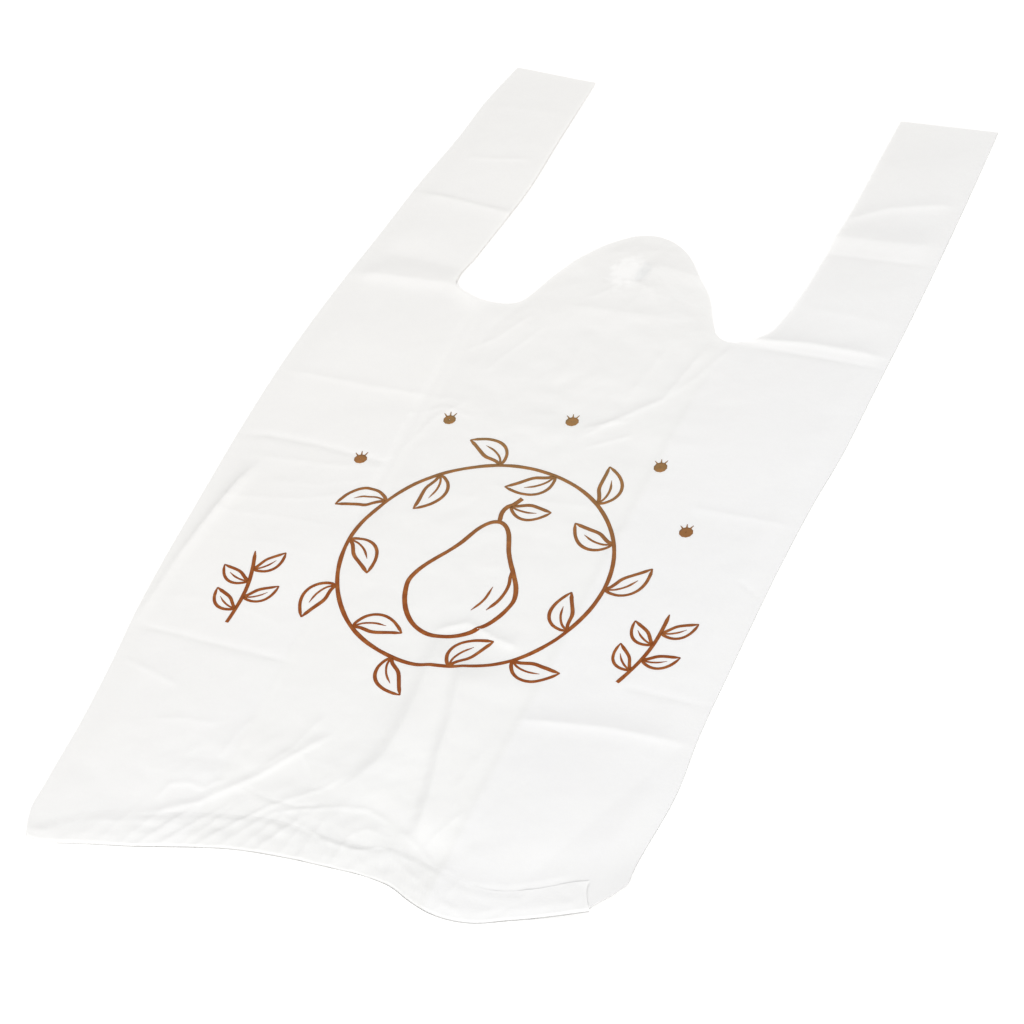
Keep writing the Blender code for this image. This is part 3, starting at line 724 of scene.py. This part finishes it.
# The pear's stalk from its top, the stroke that shades it, as shares of its size, and how far the
# shorter second stroke lies from that
STALK = ((0, 0.6), (1, 6), (0, 10), (-2.4, 12.4), (-5, 17))
SHADE = ((0.30, -0.34), (0.36, -0.24), (0.375, -0.12), (0.33, 0.0))
SECOND_SHADE = (-7, -2)
SPRIG_HEIGHT = 46.0
SPRIG_BOW = 3.0
# Heights of a sprig's leaves, in eighteenths of its own, and the side that each grows to
SPRIG_LEAVES = ((3.5, 1), (6.5, -1), (10.5, 1), (13.5, -1))
SPRIG_PARTS = 18
# Where each sprig stands, and its turn in degrees
SPRIGS = {"left": (-103.95, 153.97, 8), "right": (97.97, 165.98, -10)}
BERRIES = [(-83.95, 247.88), (-51.98, 283.92), (8.03, 297.02), (62.05, 277.91), (89.94, 240.24)]
# A berry: its radius, the points of the ring that fills it, the directions of its sepals and how far
# they reach, in radii
BERRY = 3.4
BERRY_POINTS = 10
BERRY_CROWN = (70, 105, 140)
BERRY_CROWN_REACH = 1.6
# Pen widths
RING_PEN = 2.1
PEAR_PEN = 2.3
STALK_PEN = 2.5
STEM_PEN = 2.0
SHADE_PEN = 1.7
SECOND_SHADE_PEN = 1.4
CROWN_PEN = 1.0


def pointing(degrees):
    """A unit vector on the plan."""
    return Vector((math.cos(math.radians(degrees)), math.sin(math.radians(degrees))))


def leaf(ink, root, grows, side, shape, seed):
    """A leaf outline with a midrib, square to the stem at its root and leaning over at its tip."""
    lean, length, wide, pen = shape
    tip = pointing(lean) * length
    rise = Vector((0, LEAF_BEND * length))
    turn = Matrix.Rotation(math.radians(grows), 2)

    def place(u, out):
        spine = rise * 2 * u * (1 - u) + tip * u * u
        along = (rise * (1 - 2 * u) + tip * u).normalized()
        edge = spine + Vector((along.y, -along.x)) * out * wide / 2 * math.sin(math.pi * u ** 1.1)
        return Vector(root) + turn @ Vector((edge.x, side * edge.y))

    shares = [0.03, 0.15, 0.3, 0.45, 0.6, 0.75, 0.88, 1.0]
    midrib = [0.02, 0.25, 0.5, 0.72]
    ink.stroke([place(u, 1) for u in shares], pen, taper=(0.7, 0.35), seed=seed)
    ink.stroke([place(u, -1) for u in shares], pen * 0.9, taper=(0.7, 0.35), seed=seed + 1)
    ink.stroke([place(u, 0) for u in midrib], pen * 0.6, taper=(0.8, 0.2), seed=seed + 2)


def draw_wreath(ink):
    """A ring drawn by hand, with leaves that grow outwards and inwards by turns."""
    cx, cy = PRINT_MIDDLE
    ring = []
    for i in range(WREATH_POINTS):
        turn = math.tau * i / WREATH_POINTS
        waver = noise.noise(Vector((math.cos(turn) * 2, math.sin(turn) * 2, 4)))
        radius = WREATH_RADIUS + WREATH_WAVER * waver
        ring.append((cx + radius * math.cos(turn), cy + radius * math.sin(turn)))
    ink.stroke(ring, RING_PEN, closed=True)
    for i in range(WREATH_LEAVES):
        turn = math.tau * i / WREATH_LEAVES
        root = (cx + WREATH_RADIUS * math.cos(turn), cy + WREATH_RADIUS * math.sin(turn))
        side = 1 if i % 2 else -1
        leaf(ink, root, math.degrees(turn) + 90, side, WREATH_LEAF, i * 3.0)


def draw_pear(ink):
    """A pear in outline, narrower at its neck, with a stalk, one leaf and two strokes of shade."""
    cx, cy = PRINT_MIDDLE
    outline = []
    for i in range(PEAR_POINTS):
        turn = math.tau * i / PEAR_POINTS
        rise = (1 - math.cos(turn)) / 2
        neck = 1 - 0.5 * float(ease((rise - 0.35) * 2))
        outline.append((cx + PEAR_WIDTH / 2 * math.sin(turn) * neck,
                        cy + PEAR_HEIGHT * (rise - PEAR_SEAT)))
    ink.stroke(outline, PEAR_PEN, closed=True)
    top = outline[PEAR_POINTS // 2]
    stalk = [(top[0] - across, top[1] + up) for across, up in STALK]
    ink.stroke(stalk, STALK_PEN, taper=(0.8, 1.0), seed=5)
    root = ((stalk[2][0] + stalk[3][0]) / 2, (stalk[2][1] + stalk[3][1]) / 2)
    leaf(ink, root, 62, -1, PEAR_LEAF, 9)
    shade = [(cx + PEAR_WIDTH * across, cy + PEAR_HEIGHT * up) for across, up in SHADE]
    second = [(x + SECOND_SHADE[0], y + SECOND_SHADE[1]) for x, y in shade[:3]]
    ink.stroke(shade, SHADE_PEN, taper=(0.2, 0.2), seed=6)
    ink.stroke(second, SECOND_SHADE_PEN, taper=(0.2, 0.2), seed=7)


def draw_sprig(ink, across, up, turn):
    """A stem that bows to the right, with leaves on both sides."""
    matrix = Matrix.Rotation(math.radians(turn), 2)

    def on_stem(share):
        rise = SPRIG_HEIGHT * (share - 0.5)
        return Vector((SPRIG_BOW * math.cos(math.pi * rise / SPRIG_HEIGHT), rise))

    stem = [Vector((across, up)) + matrix @ on_stem(k / 8) for k in range(9)]
    ink.stroke(stem, STEM_PEN, taper=(0.9, 0.3), seed=across)
    for part, side in SPRIG_LEAVES:
        share = part / SPRIG_PARTS
        leaning = -SPRIG_BOW * math.pi / SPRIG_HEIGHT * math.sin(math.pi * (share - 0.5))
        grows = math.degrees(math.atan2(1, leaning)) + turn
        root = Vector((across, up)) + matrix @ on_stem(share)
        leaf(ink, root, grows, side, SPRIG_LEAF, part)


def draw_berry(ink, across, up):
    """A round berry with a little crown of sepals."""
    centre = Vector((across, up))
    ring = [centre + pointing(360 * k / BERRY_POINTS) * BERRY * 0.5 for k in range(BERRY_POINTS)]
    ink.stroke(ring, BERRY * 0.98, closed=True, seed=across)
    for turn in BERRY_CROWN:
        far = pointing(turn) * BERRY * BERRY_CROWN_REACH
        ink.stroke([centre + far * 0.55, centre + far], CROWN_PEN, taper=(0.8, 0.3))


def add_node(tree, kind, settings=None, links=None):
    """Adds a node with its settings, its socket values and its incoming links."""
    node = tree.nodes.new("ShaderNode" + kind)
    for name, value in (settings or {}).items():
        if isinstance(name, str) and hasattr(node, name):
            setattr(node, name, value)
        else:
            node.inputs[name].default_value = value
    for name, source in (links or {}).items():
        tree.links.new(source, node.inputs[name])
    return node


def new_material(name):
    """An empty material and its node tree."""
    material = bpy.data.materials.new(name)
    material.use_nodes = True
    material.node_tree.nodes.clear()
    return material, material.node_tree


# Sizes of patterns, each as how many to a metre: lines of the die about 1.5 mm apart, crinkles of
# 5 mm, clouds of pigment of 40 mm, mottle of the ink of 4 mm, ragged edges of 3 mm
DIE_LINES = 650
DIE_LENGTH = 14
CRINKLES = 210
PIGMENT = 26
MOTTLE = 240
RAGS = 320
# The whiter patch beside the hot pin's hole on the tab, and the grey spot of that hole: the middle of
# each in metres, and how many times it fits in a metre
PIN_PATCH = ((-0.0025, 0.1375, 0.0), (130, 78, 1))
PIN_HOLE = ((0.0062, 0.1395, 0.0), (250, 150, 1))
# Where four layers begin beside the inner folds, in metres, and how far the left fold leans: the
# painted light of the sides begins there
LEFT_FOLD = (-0.0630, -0.0665)
RIGHT_FOLD = (0.0630, 0.0660)
LEFT_LEAN = 0.0325
# The share of light that the film scatters through, less in the whiter patch beside the pin's hole,
# and the share that passes clear
SEE_THROUGH = 0.14
PATCH_THROUGH_LESS = -0.11
CLEAR = 0.04


def ragged_spot(tree, place, middle_at, reach):
    """A ragged spot: 1 inside and 0 outside."""
    shifted = add_node(tree, "VectorMath", {"operation": "SUBTRACT", 1: middle_at},
                       {0: place})
    scaled = add_node(tree, "VectorMath", {"operation": "MULTIPLY", 1: reach},
                      {0: shifted.outputs["Vector"]})
    away = add_node(tree, "VectorMath", {"operation": "LENGTH"},
                    {0: scaled.outputs["Vector"]})
    rags = add_node(tree, "TexNoise", {"Scale": RAGS, "Detail": 2.0}, {"Vector": place})
    ragged = add_node(tree, "Math", {"operation": "MULTIPLY_ADD", 1: 1.8},
                      {0: rags.outputs["Fac"], 2: away.outputs["Value"]})
    return add_node(tree, "MapRange", {"From Min": 2.1, "From Max": 1.5},
                    {"Value": ragged.outputs["Value"]}).outputs["Result"]


def blend_colours(tree, first, second, share):
    """A mix of two colours, each an sRGB hex value or another node's colour."""
    colours = {"A": first, "B": second}
    written = {end: to_linear(one) for end, one in colours.items() if isinstance(one, str)}
    linked = {end: one for end, one in colours.items() if not isinstance(one, str)}
    return add_node(tree, "Mix", {"data_type": "RGBA", **written},
                    {"Factor": share, **linked}).outputs["Result"]


def film_surface(tree, place):
    """The bump of the film: the die's lines along the bag, and the crinkles of handled film."""
    stretched = add_node(tree, "Mapping", {"Scale": (DIE_LINES, DIE_LENGTH, DIE_LINES)},
                         {"Vector": place})
    lines = add_node(tree, "TexNoise", {"Scale": 1.0, "Detail": 2.0},
                     {"Vector": stretched.outputs["Vector"]})
    crinkle = add_node(tree, "TexNoise",
                       {"Scale": CRINKLES, "Detail": 4.0, "Roughness": 0.55}, {"Vector": place})
    both = add_node(tree, "Math", {"operation": "MULTIPLY_ADD", 1: 0.25},
                    {0: lines.outputs["Fac"], 2: crinkle.outputs["Fac"]})
    return add_node(tree, "Bump", {"Strength": 0.35, "Distance": 0.0003},
                    {"Height": both.outputs["Value"]}).outputs["Normal"]


def film_colour(tree, place, whiter_patch):
    """The white of the film: the thin middle plain, the sides over the gussets whiter with painted
    light, a ragged patch beside the pin's hole whiter and the hole a grey spot.
    """
    parts = add_node(tree, "SeparateXYZ", {}, {"Vector": place})
    # painted light: the sides over the two gusset leaves are painted whiter than the thin middle,
    # standing in for the light that the leaves beneath scatter back up
    leaning = add_node(tree, "Math", {"operation": "MULTIPLY_ADD", 1: LEFT_LEAN},
                       {0: parts.outputs["Y"], 2: parts.outputs["X"]})
    left = add_node(tree, "MapRange",
                    {"From Min": LEFT_FOLD[0], "From Max": LEFT_FOLD[1]},
                    {"Value": leaning.outputs["Value"]})
    right = add_node(tree, "MapRange",
                     {"From Min": RIGHT_FOLD[0], "From Max": RIGHT_FOLD[1]},
                     {"Value": parts.outputs["X"]})
    painted_side_light = add_node(tree, "Math", {"operation": "ADD", "use_clamp": True},
                           {0: left.outputs["Result"], 1: right.outputs["Result"]})
    whiter = add_node(tree, "Math", {"operation": "MAXIMUM"},
                      {0: painted_side_light.outputs["Value"], 1: whiter_patch})
    # the colour is uneven in clouds, and a little warmer towards the left handle
    cloud = add_node(tree, "TexNoise", {"Scale": PIGMENT, "Detail": 3.0},
                     {"Vector": place})
    across = add_node(tree, "Math", {"operation": "MULTIPLY_ADD", 1: -2.0},
                      {0: parts.outputs["X"], 2: parts.outputs["Y"]})
    warm = add_node(tree, "MapRange", {"From Min": -0.24, "From Max": 0.26},
                    {"Value": across.outputs["Value"]})
    warmth = add_node(tree, "Math",
                      {"operation": "MULTIPLY_ADD", 1: 0.3, "use_clamp": True},
                      {0: cloud.outputs["Fac"], 2: warm.outputs["Result"]}).outputs["Value"]
    thin = blend_colours(tree, "#FDFDFC", "#FDFCFA", warmth)
    # the whiter white: painted light over the gussets, and the whiter patch beside the pin's hole
    whiter_tint = blend_colours(tree, "#FFFFFF", "#FFFEFC", warmth)
    tint = blend_colours(tree, thin, whiter_tint, whiter.outputs["Value"])
    # the pin's hole is painted as a small grey ragged spot
    return blend_colours(tree, tint, "#F7F7F6", ragged_spot(tree, place, *PIN_HOLE))


def blown_film():
    """White high-density polyethylene film, blown: milky, thin enough to let light through, with a
    soft waxy gloss and the faint lengthwise lines of the die."""
    material, tree = new_material("blown_film")
    place = add_node(tree, "TexCoord").outputs["Object"]
    normal = film_surface(tree, place)
    # a ragged patch of the tab beside the hole of the hot pin that held the block of bags is painted
    # whiter, and lets less light through
    whiter_patch = ragged_spot(tree, place, *PIN_PATCH)
    tint = film_colour(tree, place, whiter_patch)
    see_through = add_node(tree, "Math",
                           {"operation": "MULTIPLY_ADD", 1: PATCH_THROUGH_LESS, 2: SEE_THROUGH},
                           {0: whiter_patch})
    gloss = add_node(tree, "BsdfPrincipled",
                     {"Roughness": 0.46, "IOR": 1.54, "Specular IOR Level": 0.3},
                     {"Base Color": tint, "Normal": normal})
    through_it = add_node(tree, "BsdfTranslucent", {}, {"Color": tint, "Normal": normal})
    milky = add_node(tree, "MixShader", {},
                     {0: see_through.outputs["Value"], 1: gloss.outputs["BSDF"],
                      2: through_it.outputs["BSDF"]})
    clear = add_node(tree, "BsdfTransparent", {"Color": to_linear("#FFFFFF")})
    film = add_node(tree, "MixShader", {0: CLEAR},
                    {1: milky.outputs["Shader"], 2: clear.outputs["BSDF"]})
    add_node(tree, "OutputMaterial", {}, {"Surface": film.outputs["Shader"]})
    return material


def printing_ink():
    """Flexographic ink on film: thin, a little uneven, with the film's own soft gloss."""
    material, tree = new_material("printing_ink")
    place = add_node(tree, "TexCoord").outputs["Object"]
    # browner near the foot, where the plate gave more ink, and paler towards the handles
    parts = add_node(tree, "SeparateXYZ", {}, {"Vector": place})
    fade = add_node(tree, "MapRange",
                    {"From Min": -0.10, "From Max": 0.03, "To Min": 0.0, "To Max": 0.9},
                    {"Value": parts.outputs["Y"]})
    brown = blend_colours(tree, "#8D460E", "#907448", fade.outputs["Result"])
    # mottle, where the ink lies thin and the white film shows through
    mottle = add_node(tree, "TexNoise",
                      {"Scale": MOTTLE, "Detail": 3.0, "Roughness": 0.6}, {"Vector": place})
    thin = add_node(tree, "MapRange",
                    {"From Min": 0.45, "From Max": 0.75, "To Min": 0.0, "To Max": 0.45},
                    {"Value": mottle.outputs["Fac"]})
    colour = blend_colours(tree, brown, "#BE7A3C", thin.outputs["Result"])
    ink = add_node(tree, "BsdfPrincipled",
                   {"Roughness": 0.5, "IOR": 1.5, "Specular IOR Level": 0.35},
                   {"Base Color": colour})
    add_node(tree, "OutputMaterial", {}, {"Surface": ink.outputs["BSDF"]})
    return material


# The studio: what the table's own white adds to what the lamps give it, the light of the room, and
# two soft boxes, each with its place, size and power
TABLE_GLOW = 0.42
TABLE_REACH = 6.0
ROOM_LIGHT = 0.537
LAMPS = {
    "key": ((2.9, -4.4, 3.4), (2.2, 2.2), 258),
    "fill": ((-2.2, 0.6, 2.4), (2.0, 2.0), 28),
}


def table_top():
    """A plain matt white table, which the camera sees as white where no shadow falls."""
    material, tree = new_material("table_top")
    matt = add_node(tree, "BsdfDiffuse", {"Color": to_linear("#DEDDDB")})
    rays = add_node(tree, "LightPath")
    seen = add_node(tree, "Math", {"operation": "MAXIMUM"},
                    {0: rays.outputs["Is Camera Ray"], 1: rays.outputs["Is Glossy Ray"]})
    seen_at_all = add_node(tree, "Math", {"operation": "MAXIMUM"},
                           {0: seen.outputs["Value"], 1: rays.outputs["Is Transmission Ray"]})
    share = add_node(tree, "Math", {"operation": "MULTIPLY", 1: TABLE_GLOW},
                     {0: seen_at_all.outputs["Value"]})
    glow = add_node(tree, "Emission", {"Color": to_linear("#FFFFFF")},
                    {"Strength": share.outputs["Value"]})
    both = add_node(tree, "AddShader", {},
                    {0: matt.outputs["BSDF"], 1: glow.outputs["Emission"]})
    add_node(tree, "OutputMaterial", {}, {"Surface": both.outputs["Shader"]})
    return material


def add_table():
    """The table, wide enough to fill the view."""
    mesh = bpy.data.meshes.new("table")
    corners = [(x * TABLE_REACH, y * TABLE_REACH, 0) for x, y in ((-1, -1), (1, -1), (1, 1), (-1, 1))]
    mesh.from_pydata(corners, [], [(0, 1, 2, 3)])
    table = bpy.data.objects.new("table", mesh)
    bpy.context.scene.collection.objects.link(table)
    mesh.materials.append(table_top())


def add_room():
    """An even white room, which the camera sees as plain white."""
    room = bpy.data.worlds.new("studio")
    bpy.context.scene.world = room
    room.use_nodes = True
    tree = room.node_tree
    tree.nodes.clear()
    rays = add_node(tree, "LightPath")
    strength = add_node(tree, "MapRange", {"To Min": ROOM_LIGHT, "To Max": 1.0},
                        {"Value": rays.outputs["Is Camera Ray"]})
    white = add_node(tree, "Background", {"Color": to_linear("#FFFFFF")},
                     {"Strength": strength.outputs["Result"]})
    add_node(tree, "OutputWorld", {}, {"Surface": white.outputs["Background"]})


def add_lamp(name, place, size, power):
    """A soft box that looks at the middle of the bag."""
    lamp = bpy.data.lights.new(name, "AREA")
    lamp.shape = "RECTANGLE"
    lamp.size, lamp.size_y = size
    lamp.energy = power
    holder = bpy.data.objects.new(name, lamp)
    holder.location = place
    holder.rotation_euler = (-Vector(place)).to_track_quat("-Z", "Y").to_euler()
    # film seen from low down would mirror the soft box and go white
    holder.visible_glossy = False
    bpy.context.scene.collection.objects.link(holder)


# The camera stands in front of the foot and to its right, and is rolled a little. Places are on the
# plan, with their height.
CAMERA_STAND = (734.38, -943.43, 1350.06)
CAMERA_AIM = (2.71, 233.83, 0.0)
CAMERA_ROLL = -12.485
CAMERA_LENS = 143.11
CAMERA_SENSOR = 36.0
CAMERA_FAR = 50.0


def add_camera():
    """The camera at its stand, level and then rolled."""
    camera = bpy.data.cameras.new("camera")
    camera.lens = CAMERA_LENS
    camera.sensor_width = CAMERA_SENSOR
    camera.clip_end = CAMERA_FAR
    stand = from_plan(*CAMERA_STAND)
    level = (from_plan(*CAMERA_AIM) - stand).to_track_quat("-Z", "Y").to_matrix().to_4x4()
    roll = Matrix.Rotation(math.radians(CAMERA_ROLL), 4, "Z")
    holder = bpy.data.objects.new("camera", camera)
    holder.matrix_world = Matrix.Translation(stand) @ level @ roll
    bpy.context.scene.collection.objects.link(holder)
    bpy.context.scene.camera = holder


add_camera()
add_table()
add_room()
for name, (place, size, power) in LAMPS.items():
    add_lamp(name, place, size, power)

film = blown_film()
film_front = make_front(film)
film_back = make_back_and_gussets(film)
foot_hem = make_hem(film)
for piece in (film_front, film_back, foot_hem):
    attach(piece, "root")
    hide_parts("bag_film")

bpy.context.view_layer.update()
front_surface = BVHTree.FromObject(film_front, bpy.context.evaluated_depsgraph_get())
ink_finish = printing_ink()
for name, draw in (("wreath", draw_wreath), ("pear", draw_pear)):
    print_piece = Ink(front_surface)
    draw(print_piece)
    print_piece.finish("ink_" + name, ink_finish)
for side, layout in SPRIGS.items():
    sprig = Ink(front_surface)
    draw_sprig(sprig, *layout)
    sprig.finish("ink_sprig_" + side, ink_finish)
for number, layout in enumerate(BERRIES, 1):
    berry = Ink(front_surface)
    draw_berry(berry, *layout)
    berry.finish(f"ink_berry_{number}", ink_finish)

bpy.context.scene.view_settings.view_transform = "Standard"
